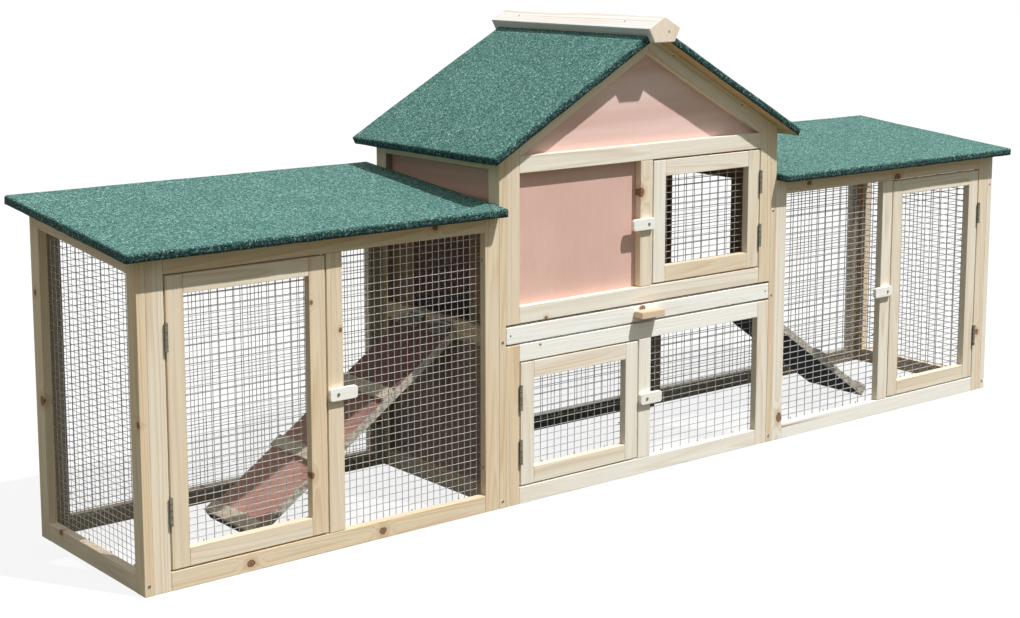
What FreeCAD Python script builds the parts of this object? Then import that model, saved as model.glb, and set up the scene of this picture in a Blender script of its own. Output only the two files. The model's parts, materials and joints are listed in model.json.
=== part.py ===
import FreeCAD
import Part
import math
import os

from FreeCAD import Rotation, Vector

# Outdoor rabbit hutch: a two-storey house with a pitched roof between two ground runs.
# Millimetres, +Z up, +X to the right seen from the front, front towards -Y, origin on the floor at the middle.

# Timber, board and mesh stock
stock_thickness = 15.0
stock_width = 30.0
ply_thickness = 5.0
ply_lap = 10.0
mesh_wire = 1.0
mesh_lap = 8.0
mesh_pitch = 12.7
pitches_per_bar = 5
round_sides = 12

# Plan of the base
house_length = 650.0
run_length = 662.0
depth = 362.0

# Heights
run_front_height = 517.0
run_roof_rise = 33.0
eave_above_run = 69.0
lower_panel_height = 284.0
tray_front_height = 29.0
tray_slot_gap = 4.0
top_rail_drop = 8.0
side_board_drop = 6.0
doorway_head_drop = 5.0
doorway_width = 170.0
doorway_set_back = 5.0

# Roofs
roof_board = 12.0
felt_thickness = 2.0
run_front_overhang = 27.0
run_back_overhang = 33.0
run_end_overhang = 28.0
roof_pitch = 29.0
eave_overhang = 29.0
gable_overhang = 30.0
ridge_half_width = 24.0
ridge_proud = 14.5
ridge_end_overhang = 12.0

# Doors and their butt hinges
run_door_opening = 285.0
house_door_opening = 280.0
door_gap = 2.5
hinge_length = 44.0
hinge_radius = 2.8
hinge_leaf = 1.0
hinge_leaf_depth = 12.0
hinge_pin_radius = 1.3
hinge_play = 0.05
knuckle_gap = 0.3
run_hinge_inset = 70.0
house_hinge_inset = 39.0

# Turn buttons, each on one screw in the middle of a stile
button_length = 52.0
button_height = 21.0
button_thickness = 7.0
button_short_end = 15.0
button_gap = 0.3
button_chamfer = 1.5
button_screw_radius = 2.0
button_screw_play = 0.05
button_screw_bite = 12.0
screw_head_radius = 3.8
screw_head_height = 2.0

# Pull-out tray
pan_sheet = 1.0
pan_wall_height = 23.0
pan_side_gap = 8.0
pan_back_gap = 1.0
tray_end_gap = 1.0
runner_width = 18.0
runner_height = 15.0
runner_end_gap = 2.0
tray_play = 0.3
handle_length = 57.0
handle_height = 13.0
handle_depth = 22.0
handle_chamfer = 1.5

# Ramps
ramp_slope = 34.5
ramp_width = 152.0
ramp_thickness = 15.0
ramp_set_back = 14.0
ramp_hinge_height = 20.0
ramp_hinge_radius = 3.0
ramp_hinge_leaf_depth = 26.0
ramp_hinge_inset = 14.0
ramp_end_gap = 2.5
ramp_floor_gap = 0.3
cleat_width = 25.0
cleat_height = 7.0
cleat_count = 3
cleat_spacing = 160.0

# Planes of the base
house_in = house_length / 2
house_out = house_in + stock_thickness
run_out = house_out + run_length
end_out = run_out + stock_thickness
front = -depth / 2
front_in = front + stock_thickness
back = depth / 2
back_in = back - stock_thickness

# Levels
run_back_height = run_front_height + run_roof_rise
house_side_height = run_back_height + eave_above_run
tray_bottom = lower_panel_height + tray_slot_gap
tray_top = tray_bottom + tray_front_height
upper_bottom = tray_top + tray_slot_gap
upper_rail_top = house_side_height - top_rail_drop
sill_height = lower_panel_height + stock_width
doorway_head = run_front_height - doorway_head_drop
side_board_bottom = sill_height - ply_lap
runner_top = tray_bottom - tray_play
side_board_face = house_in - ply_thickness

# Slopes
run_angle = math.atan2(run_roof_rise, back_in - front)
pitch = math.radians(roof_pitch)
slope_angle = math.radians(ramp_slope)
roof_thickness = roof_board + felt_thickness
bar_pitch = mesh_pitch * pitches_per_bar


def box(x0, x1, y0, y1, z0, z1):
    return Part.makeBox(x1 - x0, y1 - y0, z1 - z0, Vector(x0, y0, z0))


def outline(points):
    return Part.makePolygon([Vector(*p) for p in points + points[:1]])


def along_y(points, y0, y1):
    # Outline in X and Z pushed from y0 to y1
    return Part.Face(outline([(x, y0, z) for x, z in points])).extrude(Vector(0, y1 - y0, 0))


def along_x(points, x0, x1):
    # Outline in Y and Z pushed from x0 to x1
    return Part.Face(outline([(x0, y, z) for y, z in points])).extrude(Vector(x1 - x0, 0, 0))


def mirrored(shape):
    return shape.mirror(Vector(0, 0, 0), Vector(1, 0, 0))


def sided(shapes, side):
    # Pieces are drawn for the right-hand side and mirrored for the left
    return [mirrored(s) if side == "left" else s for s in shapes]


def save(node, solids):
    shape = solids[0] if len(solids) == 1 else Part.makeCompound(solids)
    shape.exportStep("parts/" + node + ".step")


def framed(x0, x1, y0, y1, z0, z1):
    # Two stiles of full height with a rail between them at the foot and at the head
    inner0 = x0 + stock_width
    inner1 = x1 - stock_width
    return [
        box(x0, inner0, y0, y1, z0, z1),
        box(inner1, x1, y0, y1, z0, z1),
        box(inner0, inner1, y0, y1, z0, z0 + stock_width),
        box(inner0, inner1, y0, y1, z1 - stock_width, z1),
    ]


def run_roof_height(y):
    return run_front_height + (y - front) * math.tan(run_angle)


def house_roof_height(x):
    return house_side_height + (house_out - abs(x)) * math.tan(pitch)


def wire_mesh(place, u0, u1, v0, top, push):
    # Sheet of welded mesh: one holed face, drawn with one bar for every few wires.
    # place turns sheet coordinates into a point, top gives the upper edge at each u.
    columns = max(1, round((u1 - u0) / bar_pitch))
    column_step = (u1 - u0 - mesh_wire) / columns
    rows_in_full = max(1, round((top(u0) - v0) / bar_pitch))
    row_step = (top(u0) - v0 - mesh_wire) / rows_in_full
    border = [place(u0, v0), place(u1, v0), place(u1, top(u1)), place(u0, top(u0))]
    wires = [outline(border)]
    for column in range(columns):
        left = u0 + column * column_step + mesh_wire
        right = u0 + (column + 1) * column_step
        lowest_top = min(top(left), top(right)) - mesh_wire
        rows = max(1, round((lowest_top - v0) / row_step))
        for row in range(rows):
            low = v0 + row * row_step + mesh_wire
            high_left = high_right = v0 + (row + 1) * row_step
            if row == rows - 1:
                high_left = top(left) - mesh_wire
                high_right = top(right) - mesh_wire
            wires.append(outline([place(left, low), place(right, low),
                                  place(right, high_right), place(left, high_left)]))
    return Part.makeFace(wires, "Part::FaceMakerCheese").extrude(Vector(*push))


def upright_mesh(x0, x1, z0, z1, y):
    # Mesh over an opening in a front or back panel, lapping its timbers
    return wire_mesh(lambda u, v: (u, y, v), x0 - mesh_lap, x1 + mesh_lap, z0 - mesh_lap,
                     lambda u: z1 + mesh_lap, (0, mesh_wire, 0))


def ring(radius, z):
    turn = 2 * math.pi / round_sides
    return outline([(radius * math.cos(turn * (k + 0.5)), radius * math.sin(turn * (k + 0.5)), z)
                    for k in range(round_sides)])


def round_bar(radius, z0, z1):
    # Many-sided bar on the local Z axis, inside the radius
    return Part.Face(ring(radius, z0)).extrude(Vector(0, 0, z1 - z0))


def round_bore(radius, z0, z1):
    # Many-sided bore that clears the radius at the middle of each side
    return round_bar(radius / math.cos(math.pi / round_sides), z0, z1)


def hinge_zones():
    # Heights of the fixed leaf's two outer knuckles and of the moving leaf's middle one, about the middle
    half = hinge_length / 2
    inner = hinge_length / 6
    fixed = [(-half, -inner - knuckle_gap / 2), (inner + knuckle_gap / 2, half)]
    moving = [(-inner + knuckle_gap / 2, inner - knuckle_gap / 2)]
    return fixed, moving


def hinge_leaf_solid(zones, radius, plate_x, plate_start, plate_end):
    # Knuckles on the local Z axis with one flat leaf that reaches out along local Y
    half = hinge_length / 2
    leaf = box(plate_x, plate_x + hinge_leaf, plate_start, plate_end, -half, half)
    for low, high in zones:
        knuckle = round_bar(radius, low, high)
        tongue = box(plate_x, plate_x + hinge_leaf, 0, plate_start, low, high)
        leaf = leaf.fuse(knuckle).fuse(tongue)
    return leaf.cut(round_bore(hinge_pin_radius + hinge_play, -half, half)).removeSplitter()


def hinge_pin():
    return Part.makeCylinder(hinge_pin_radius, hinge_length, Vector(0, 0, -hinge_length / 2))


def set_in(shape, x_axis, y_axis, point):
    # Local X and Y turned to the given directions, local origin moved to the point
    z_axis = x_axis.cross(y_axis)
    shape = shape.copy()
    shape.Placement = FreeCAD.Placement(point, Rotation(x_axis, y_axis, z_axis, "XYZ"))
    return shape


# Hinge pieces and screws that stay with the fixed frame are gathered as the doors and ramps are made
fixed_leaves = []
pins = []
button_screws = []


def make_door(node, x0, x1, z0, z1, hinge_x_sign, inset):
    # Framed and meshed door in the opening, hung on two butt hinges in the gap on one side
    left = x0 + door_gap
    right = x1 - door_gap
    low = z0 + door_gap
    high = z1 - door_gap
    save(node + "_frame", framed(left, right, front, front_in, low, high))
    save(node + "_mesh", [upright_mesh(left + stock_width, right - stock_width,
                                       low + stock_width, high - stock_width, front_in)])
    axis_x = x1 - door_gap / 2 if hinge_x_sign > 0 else x0 + door_gap / 2
    axis_y = front - hinge_radius - knuckle_gap / 2
    to_door = Vector(-hinge_x_sign, 0, 0)
    inward = Vector(0, 1, 0)
    start = hinge_radius + knuckle_gap
    end = front - axis_y + hinge_leaf_depth
    fixed_zones, moving_zones = hinge_zones()
    fixed = hinge_leaf_solid(fixed_zones, hinge_radius, -door_gap / 2, start, end)
    moving = hinge_leaf_solid(moving_zones, hinge_radius, door_gap / 2 - hinge_leaf, start, end)
    door_leaves = []
    for z in (low + inset + hinge_length / 2, high - inset - hinge_length / 2):
        point = Vector(axis_x, axis_y, z)
        fixed_leaves.append(set_in(fixed, to_door, inward, point))
        door_leaves.append(set_in(moving, to_door, inward, point))
        pins.append(set_in(hinge_pin(), to_door, inward, point))
    save(node + "_hinge_leaves", door_leaves)


def make_button(node, x, z, door_sign):
    # Turn button swung clear of the door: its long end points away from the door's side
    away = -door_sign
    ends = sorted((x - away * button_short_end, x + away * (button_length - button_short_end)))
    rear = front - button_gap
    block = box(ends[0], ends[1], rear - button_thickness, rear, z - button_height / 2, z + button_height / 2)
    face_edges = [e for e in block.Edges if e.BoundBox.YMax < rear - button_thickness / 2]
    block = block.makeChamfer(button_chamfer, face_edges)

    def on_screw(shape):
        # Local Z becomes the way out of the timber's face
        return set_in(shape, Vector(1, 0, 0), Vector(0, 0, 1), Vector(x, front, z))

    head_low = 2 * button_gap + button_thickness
    head_rim = head_low + screw_head_height / 2
    hole = round_bore(button_screw_radius + button_screw_play, button_gap, head_low - button_gap)
    save(node, [block.cut(on_screw(hole))])
    shank = Part.makeCylinder(button_screw_radius, button_screw_bite + head_low,
                              Vector(0, 0, -button_screw_bite))
    rim = round_bar(screw_head_radius, head_low, head_rim)
    crown = Part.makeLoft([ring(screw_head_radius, head_rim),
                           ring(screw_head_radius / 2, head_low + screw_head_height)], True, True)
    button_screws.append(on_screw(shank.fuse([rim, crown]).removeSplitter()))


# Run panels, drawn for the right-hand run
run_stile_in = house_out + stock_width
run_stile_out = run_out - stock_width
run_door_x0 = run_stile_out - run_door_opening
run_mid_x0 = run_door_x0 - stock_width
run_rail_low = run_front_height - stock_width
run_mid_x = run_mid_x0 + stock_width / 2
run_latch_height = run_front_height / 2


def run_front_frame():
    timbers = framed(house_out, run_out, front, front_in, 0, run_front_height)
    return timbers + [box(run_mid_x0, run_door_x0, front, front_in, stock_width, run_rail_low)]


def end_frame():
    # Front and back stiles, a level foot rail and a head rail that follows the roof
    stile_front = front + stock_width
    stile_back = back - stock_width

    def timber(y0, y1, low0, low1):
        return along_x([(y0, low0), (y1, low1), (y1, run_roof_height(y1)), (y0, run_roof_height(y0))],
                       run_out, end_out)

    return [
        timber(front, stile_front, 0, 0),
        timber(stile_back, back, 0, 0),
        box(run_out, end_out, stile_front, stile_back, 0, stock_width),
        timber(stile_front, stile_back, run_roof_height(stile_front) - stock_width,
               run_roof_height(stile_back) - stock_width),
    ]


def end_mesh():
    return wire_mesh(lambda u, v: (run_out - mesh_wire, u, v),
                     front + stock_width - mesh_lap, back - stock_width + mesh_lap, stock_width - mesh_lap,
                     lambda y: run_roof_height(y) - stock_width + mesh_lap, (mesh_wire, 0, 0))


def run_back_frame():
    return framed(house_out, run_out, back_in, back, 0, run_back_height)


def on_run_roof(shape):
    # From flat, with its front lower house-side corner over the front panel's edge, to its place on the slope
    shape.rotate(Vector(0, 0, 0), Vector(1, 0, 0), math.degrees(run_angle))
    shape.translate(Vector(house_out, front, run_front_height))
    return shape


def run_roof():
    length = run_length + stock_thickness + run_end_overhang
    low = -run_front_overhang / math.cos(run_angle)
    high = (depth + run_back_overhang) / math.cos(run_angle)
    board = box(0, length - felt_thickness, low + felt_thickness, high - felt_thickness, 0, roof_board)
    felt = box(0, length, low, high, 0, roof_thickness).cut(board)
    return on_run_roof(board), on_run_roof(felt)


board, felt = run_roof()
window_mesh = upright_mesh(run_stile_in, run_mid_x0, stock_width, run_rail_low, front_in)
back_mesh = upright_mesh(run_stile_in, run_stile_out, stock_width, run_back_height - stock_width,
                         back_in - mesh_wire)
for side in ("left", "right"):
    save(side + "_run_front_frame", sided(run_front_frame(), side))
    save(side + "_run_window_mesh", sided([window_mesh], side))
    save(side + "_run_back_frame", sided(run_back_frame(), side))
    save(side + "_run_back_mesh", sided([back_mesh], side))
    save(side + "_end_frame", sided(end_frame(), side))
    save(side + "_end_mesh", sided([end_mesh()], side))
    save(side + "_run_roof_board", sided([board], side))
    save(side + "_run_roof_felt", sided([felt], side))

make_door("left_run_door", -run_stile_out, -run_door_x0, stock_width, run_rail_low, -1, run_hinge_inset)
make_door("right_run_door", run_door_x0, run_stile_out, stock_width, run_rail_low, 1, run_hinge_inset)
make_button("left_run_button", -run_mid_x, run_latch_height, -1)
make_button("right_run_button", run_mid_x, run_latch_height, 1)

# House front: a meshed panel with a door below, the tray slot, a boarded panel with a door and the gable above
house_stile = house_in - stock_width
lower_opening_top = lower_panel_height - stock_width
lower_mid_x0 = -house_stile + house_door_opening
upper_mid_x1 = house_stile - house_door_opening
upper_opening_low = upper_bottom + stock_width
upper_opening_high = upper_rail_top - stock_width
ridge_low = house_roof_height(ridge_half_width)


def gable_timbers(y0, y1, foot):
    # Stiles cut to the roof's slope, a head rail, and two rafters that meet under the ridge
    rafter_depth = stock_width / math.cos(pitch)
    rail_meets = house_out - (upper_rail_top + rafter_depth - house_side_height) / math.tan(pitch)
    stile = [(house_stile, foot), (house_in, foot),
             (house_in, house_roof_height(house_in)), (house_stile, house_roof_height(house_stile))]
    rafter = [(house_stile, upper_rail_top), (house_stile, house_roof_height(house_stile)),
              (ridge_half_width, ridge_low), (0, ridge_low),
              (0, house_roof_height(0) - rafter_depth), (rail_meets, upper_rail_top)]
    timbers = []
    for points in (stile, rafter):
        timber = along_y(points, y0, y1)
        timbers += [timber, mirrored(timber)]
    rail = box(-house_stile, house_stile, y0, y1, upper_opening_high, upper_rail_top)
    return timbers + [rail]


def gable_board(y0, foot):
    # Board behind the gable, held in from the roof and the ridge by the lap
    inset = ply_lap / math.cos(pitch)
    edge = house_stile + ply_lap
    head = ridge_low - ply_lap
    head_x = house_out - (head + inset - house_side_height) / math.tan(pitch)
    half = [(edge, foot), (edge, house_roof_height(edge) - inset), (head_x, head)]
    return along_y(half + [(-x, z) for x, z in reversed(half)], y0, y0 + ply_thickness)


lower_front = framed(-house_in, house_in, front, front_in, 0, lower_panel_height)
lower_front.append(box(lower_mid_x0, lower_mid_x0 + stock_width, front, front_in,
                       stock_width, lower_opening_top))
save("house_lower_front_frame", lower_front)
save("house_lower_window_mesh", [upright_mesh(lower_mid_x0 + stock_width, house_stile,
                                              stock_width, lower_opening_top, front_in)])
upper_front = gable_timbers(front, front_in, upper_bottom)
upper_front.append(box(-house_stile, house_stile, front, front_in, upper_bottom, upper_opening_low))
upper_front.append(box(upper_mid_x1 - stock_width, upper_mid_x1, front, front_in,
                       upper_opening_low, upper_opening_high))
save("house_upper_front_frame", upper_front)
bay_board = box(-house_stile - ply_lap, upper_mid_x1 - stock_width + ply_lap, front_in, front_in + ply_thickness,
                upper_opening_low - ply_lap, upper_opening_high + ply_lap)
save("house_front_boards", [bay_board, gable_board(front_in, upper_rail_top - ply_lap)])

make_door("house_lower_door", -house_stile, lower_mid_x0, stock_width, lower_opening_top, -1,
          house_hinge_inset)
make_door("house_upper_door", upper_mid_x1, house_stile, upper_opening_low, upper_opening_high, 1,
          house_hinge_inset)
make_button("house_lower_button", lower_mid_x0 + stock_width / 2, lower_panel_height / 2, -1)
make_button("house_upper_button", upper_mid_x1 - stock_width / 2,
            (upper_opening_low + upper_opening_high) / 2, 1)

# House back: one tall frame, meshed below and boarded above
back_timbers = gable_timbers(back_in, back, 0)
back_timbers.append(box(-house_stile, house_stile, back_in, back, 0, stock_width))
back_timbers.append(box(-house_stile, house_stile, back_in, back, lower_panel_height, sill_height))
save("house_back_frame", back_timbers)
save("house_back_mesh", [upright_mesh(-house_stile, house_stile, stock_width, lower_panel_height,
                                      back_in - mesh_wire)])
save("house_back_board", [gable_board(back_in - ply_thickness, side_board_bottom)])


# House sides, drawn for the right-hand side: open at the ground, boarded above with a doorway to the ramp
def side_frame(with_foot_rail):
    head = [(house_in, house_roof_height(house_in)), (house_out, house_side_height)]
    stile = [(house_out, 0), (house_in, 0)] + head
    rail_low = house_side_height - stock_width
    rail = [(house_out, rail_low), (house_in, rail_low)] + head
    stile_front = front + stock_width
    stile_back = back - stock_width
    timbers = [
        along_y(stile, front, stile_front),
        along_y(stile, stile_back, back),
        along_y(rail, stile_front, stile_back),
        box(house_in, house_out, stile_front, stile_back, lower_panel_height, sill_height),
    ]
    if with_foot_rail:
        timbers.append(box(house_in, house_out, stile_front, stile_back, 0, stock_width))
    return timbers


side_board_reach = back_in - ply_thickness - mesh_wire / 2
upper_side_board = box(side_board_face, house_in, -side_board_reach, side_board_reach,
                       side_board_bottom, house_side_height - side_board_drop)
doorway_front = doorway_set_back - doorway_width / 2
doorway_back = doorway_front + doorway_width
upper_side_board = upper_side_board.cut(box(side_board_face, house_in, doorway_front, doorway_back,
                                            side_board_bottom, doorway_head))
lower_side_board = box(side_board_face, house_in, -side_board_reach, side_board_reach,
                       stock_width - ply_lap, runner_top - runner_height - mesh_wire / 2)
save("house_left_side_frame", sided(side_frame(True), "left"))
save("house_left_side_boards", sided([upper_side_board, lower_side_board], "left"))
save("house_right_side_frame", side_frame(False))
save("house_right_side_board", [upper_side_board])


# House roof: two boarded and felted slopes that butt on a five-sided ridge beam
def roof_point(up, out):
    # Place on the right-hand slope: up the slope from the side panel's top edge, and out square to it
    return (house_out - up * math.cos(pitch) + out * math.sin(pitch),
            house_side_height + up * math.sin(pitch) + out * math.cos(pitch))


eave = -eave_overhang / math.cos(pitch)
ridge_meets = (house_out - ridge_half_width) / math.cos(pitch)
roof_reach = back + gable_overhang
board_reach = roof_reach - felt_thickness


def roof_layer(low, out, reach):
    corners = [(low, 0), (ridge_meets, 0), (ridge_meets, out), (low, out)]
    return along_y([roof_point(up, n) for up, n in corners], -reach, reach)


house_board = roof_layer(eave + felt_thickness, roof_board, board_reach)
house_felt = roof_layer(eave, roof_thickness, roof_reach).cut(house_board)
save("house_roof_boards", [house_board, mirrored(house_board)])
save("house_roof_felts", [house_felt, mirrored(house_felt)])
shoulder_x, shoulder_z = roof_point(ridge_meets, roof_thickness + ridge_proud)
apex_z = shoulder_z + shoulder_x * math.tan(pitch)
ridge_reach = roof_reach + ridge_end_overhang
save("ridge_beam", [along_y([(ridge_half_width, ridge_low), (shoulder_x, shoulder_z), (0, apex_z),
                             (-shoulder_x, shoulder_z), (-ridge_half_width, ridge_low)],
                            -ridge_reach, ridge_reach)])

# Tray: a wooden front with a block handle and a sheet pan that slides on two runners
runner_reach = back_in - runner_end_gap
runner = box(house_in - runner_width, house_in, -runner_reach, runner_reach,
             runner_top - runner_height, runner_top)
save("tray_runners", [runner, mirrored(runner)])
tray_half = house_in - tray_end_gap
save("tray_front", [box(-tray_half, tray_half, front, front_in, tray_bottom, tray_top)])
pan_half = house_in - pan_side_gap
pan_back = back_in - ply_thickness - pan_back_gap
pan = box(-pan_half, pan_half, front_in, pan_back, tray_bottom, tray_bottom + pan_wall_height)
pan = pan.cut(box(-pan_half + pan_sheet, pan_half - pan_sheet, front_in + pan_sheet, pan_back - pan_sheet,
                  tray_bottom + pan_sheet, tray_bottom + pan_wall_height))
save("tray_pan", [pan])
tray_middle = (tray_bottom + tray_top) / 2
handle = box(-handle_length / 2, handle_length / 2, front - handle_depth, front,
             tray_middle - handle_height / 2, tray_middle + handle_height / 2)
save("tray_handle", [handle.makeChamfer(handle_chamfer, [e for e in handle.Edges
                                                         if e.BoundBox.YMax < front - handle_depth / 2])])

# Ramps, drawn for the right-hand run: a board with cleats, hung on two hinges under the doorway
down_slope = Vector(math.cos(slope_angle), 0, -math.sin(slope_angle))
off_slope = Vector(math.sin(slope_angle), 0, math.cos(slope_angle))
ramp_axis = Vector(house_out + ramp_hinge_radius, ramp_set_back, lower_panel_height + ramp_hinge_height)
board_under = ramp_hinge_radius + ramp_thickness
ramp_start = ramp_end_gap + board_under * math.tan(slope_angle) - ramp_hinge_radius / math.cos(slope_angle)
ramp_end = (ramp_axis.z - ramp_floor_gap - board_under * math.cos(slope_angle)) / math.sin(slope_angle)


def on_ramp(start, end, low, high):
    # Bar across the ramp, from start to end down the slope and between two heights off the hinge axis
    corners = [(start, low), (end, low), (end, high), (start, high)]
    points = [ramp_axis + down_slope * along + off_slope * out for along, out in corners]
    return along_y([(p.x, p.z) for p in points], ramp_axis.y - ramp_width / 2, ramp_axis.y + ramp_width / 2)


ramp_board = on_ramp(ramp_start, ramp_end, -board_under, -ramp_hinge_radius)
cleats = []
for count in range(cleat_count):
    foot = ramp_end - count * cleat_spacing
    cleats.append(on_ramp(foot - cleat_width, foot, -ramp_hinge_radius, cleat_height - ramp_hinge_radius))
fixed_zones, moving_zones = hinge_zones()
wall_leaf = hinge_leaf_solid(fixed_zones, ramp_hinge_radius, -ramp_hinge_radius, ramp_hinge_radius,
                             stock_width - ramp_hinge_height)
board_leaf = hinge_leaf_solid(moving_zones, ramp_hinge_radius, -ramp_hinge_radius, ramp_hinge_radius,
                              ramp_hinge_leaf_depth)
hinge_y = ramp_width / 2 - ramp_hinge_inset - hinge_length / 2
ramp_wall_leaves = []
ramp_board_leaves = []
ramp_pins = []
for y in (-hinge_y, hinge_y):
    point = ramp_axis + Vector(0, y, 0)
    ramp_wall_leaves.append(set_in(wall_leaf, Vector(1, 0, 0), Vector(0, 0, 1), point))
    ramp_board_leaves.append(set_in(board_leaf, off_slope, down_slope, point))
    ramp_pins.append(set_in(hinge_pin(), off_slope, down_slope, point))
for side in ("left", "right"):
    save(side + "_ramp_board", sided([ramp_board], side))
    save(side + "_ramp_cleats", sided(cleats, side))
    save(side + "_ramp_hinge_leaves", sided(ramp_board_leaves, side))
    fixed_leaves += sided(ramp_wall_leaves, side)
    pins += sided(ramp_pins, side)

# Hinge pieces and screws of the fixed frame
save("button_screws", button_screws)
save("fixed_hinge_leaves", fixed_leaves)
save("hinge_pins", pins)
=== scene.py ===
import json
import math
import random

import bmesh
import bpy
from mathutils import Matrix, Vector, noise

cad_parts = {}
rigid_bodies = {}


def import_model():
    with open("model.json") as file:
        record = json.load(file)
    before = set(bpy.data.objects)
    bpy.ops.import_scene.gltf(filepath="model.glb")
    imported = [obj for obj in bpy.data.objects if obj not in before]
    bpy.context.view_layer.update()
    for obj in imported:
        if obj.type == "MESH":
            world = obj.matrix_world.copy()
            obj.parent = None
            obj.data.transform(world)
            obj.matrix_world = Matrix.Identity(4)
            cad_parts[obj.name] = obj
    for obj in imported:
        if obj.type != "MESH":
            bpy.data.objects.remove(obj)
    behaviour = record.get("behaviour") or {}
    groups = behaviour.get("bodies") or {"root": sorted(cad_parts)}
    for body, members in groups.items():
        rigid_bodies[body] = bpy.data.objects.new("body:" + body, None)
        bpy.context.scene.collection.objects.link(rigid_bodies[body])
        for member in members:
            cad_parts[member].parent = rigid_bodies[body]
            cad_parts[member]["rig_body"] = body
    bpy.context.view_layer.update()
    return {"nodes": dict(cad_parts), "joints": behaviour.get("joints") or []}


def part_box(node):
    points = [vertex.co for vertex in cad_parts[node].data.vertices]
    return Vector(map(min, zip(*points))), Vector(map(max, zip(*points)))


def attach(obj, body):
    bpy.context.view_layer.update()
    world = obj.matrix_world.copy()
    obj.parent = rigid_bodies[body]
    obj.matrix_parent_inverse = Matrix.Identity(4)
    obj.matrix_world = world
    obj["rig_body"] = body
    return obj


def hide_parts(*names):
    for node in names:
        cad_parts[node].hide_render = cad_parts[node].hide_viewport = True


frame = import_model()
scene = bpy.context.scene
cadNodes = frame["nodes"]
rng = random.Random(23)
print("frame loaded:", len(cadNodes), "nodes")


class Field:
    # a socket in a node tree; sums written on it add Math nodes
    def __init__(self, tree, socket=None):
        self.tree = tree
        self.socket = socket

    # adds any node: its type, its settings, what goes into its sockets, and which output is wanted
    def node(self, kind, settings=None, values=None, out=0):
        made = self.tree.nodes.new(kind)
        for name, value in (settings or {}).items():
            if name == "stops":
                elements = made.color_ramp.elements
                elements[0].position, elements[1].position = value[0][0], value[-1][0]
                for position, colour in value[1:-1]:
                    elements.new(position).color = colour
                elements[0].color, elements[len(elements) - 1].color = value[0][1], value[-1][1]
            else:
                setattr(made, name, value)
        for key, value in (values or {}).items():
            for item in value if isinstance(value, list) else [value]:
                if isinstance(item, Field):
                    self.tree.links.new(item.socket, made.inputs[key])
                else:
                    made.inputs[key].default_value = item
        return Field(self.tree, made.outputs[out] if len(made.outputs) else None)

    def maths(self, operation, *values):
        return self.node("ShaderNodeMath", {"operation": operation}, dict(enumerate(values)))

    def alone(self, operation):
        return self.maths(operation, self)

    def __add__(self, other):
        return self.maths("ADD", self, other)

    def __radd__(self, other):
        return self.maths("ADD", other, self)

    def __sub__(self, other):
        return self.maths("SUBTRACT", self, other)

    def __rsub__(self, other):
        return self.maths("SUBTRACT", other, self)

    def __mul__(self, other):
        return self.maths("MULTIPLY", self, other)

    def __rmul__(self, other):
        return self.maths("MULTIPLY", other, self)

    def __truediv__(self, other):
        return self.maths("DIVIDE", self, other)

    def __rtruediv__(self, other):
        return self.maths("DIVIDE", other, self)

    def __pow__(self, other):
        return self.maths("POWER", self, other)

    def __rpow__(self, other):
        return self.maths("POWER", other, self)

    # steps from 0 at low to 1 at high, smoothly
    def between(self, low, high):
        settings = {"interpolation_type": "SMOOTHSTEP"}
        return self.node("ShaderNodeMapRange", settings, {0: self, 1: low, 2: high})

    def noise(self, scale, detail=2.0, rough=0.5):
        values = {"Vector": self, "Scale": scale, "Detail": detail, "Roughness": rough}
        return self.node("ShaderNodeTexNoise", {}, values)

    # noise with a scale of its own each way
    def drawn(self, scales, detail=2.0, rough=0.5):
        stretched = self.node("ShaderNodeVectorMath", {"operation": "MULTIPLY"}, {0: self, 1: scales})
        return stretched.noise(1.0, detail, rough)

    # a level for each cell of a pattern, from one part of the cell's colour
    def specks(self, scale, part):
        return self.node("ShaderNodeTexVoronoi", {}, {"Vector": self, "Scale": scale}, 1).parts()[part]

    def mixed(self, first, second):
        return self.node("ShaderNodeMix", {"data_type": "RGBA"}, {0: self, 6: first, 7: second}, 2)

    def dimmed(self, factor):
        return self.node("ShaderNodeVectorMath", {"operation": "SCALE"}, {0: self, 3: factor})

    # stops are places with a colour or a level of grey
    def ramp(self, *stops):
        whole = [(p, c if isinstance(c, tuple) else (c, c, c, 1.0)) for p, c in stops]
        return self.node("ShaderNodeValToRGB", {"stops": whole}, {0: self})

    def parts(self):
        made = self.node("ShaderNodeSeparateXYZ", {}, {0: self}).socket.node
        return [Field(self.tree, made.outputs[k]) for k in range(3)]


def rgb(*screen):
    # a colour given as it looks on a screen, 0 to 255, made linear for the shader
    levels = [v / 255 for v in screen]
    return (*(v / 12.92 if v <= 0.04045 else ((v + 0.055) / 1.055) ** 2.4 for v in levels), 1.0)


def newMaterial(name):
    made = bpy.data.materials.new(name)
    made.use_nodes = True
    return made, Field(made.node_tree)


def finished(made, looks):
    tree = made.node_tree
    shader = tree.nodes["Principled BSDF"]
    for key, value in looks.items():
        if isinstance(value, Field):
            tree.links.new(value.socket, shader.inputs[key])
        else:
            shader.inputs[key].default_value = value
    return made


def objectPlace(start):
    return start.node("ShaderNodeTexCoord", {}, {}, 3)


def faceWay(start):
    # the three parts of the way that a face looks
    return start.node("ShaderNodeNewGeometry", {}, {}, 1).parts()


def attribute(start, name, out=1):
    # output 1 is an attribute as a vector, output 2 as one value
    return start.node("ShaderNodeAttribute", {"attribute_name": name}, {}, out)


def bumped(start, height, strength, distance):
    return start.node("ShaderNodeBump", {}, {"Height": height, "Strength": strength, "Distance": distance})


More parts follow.
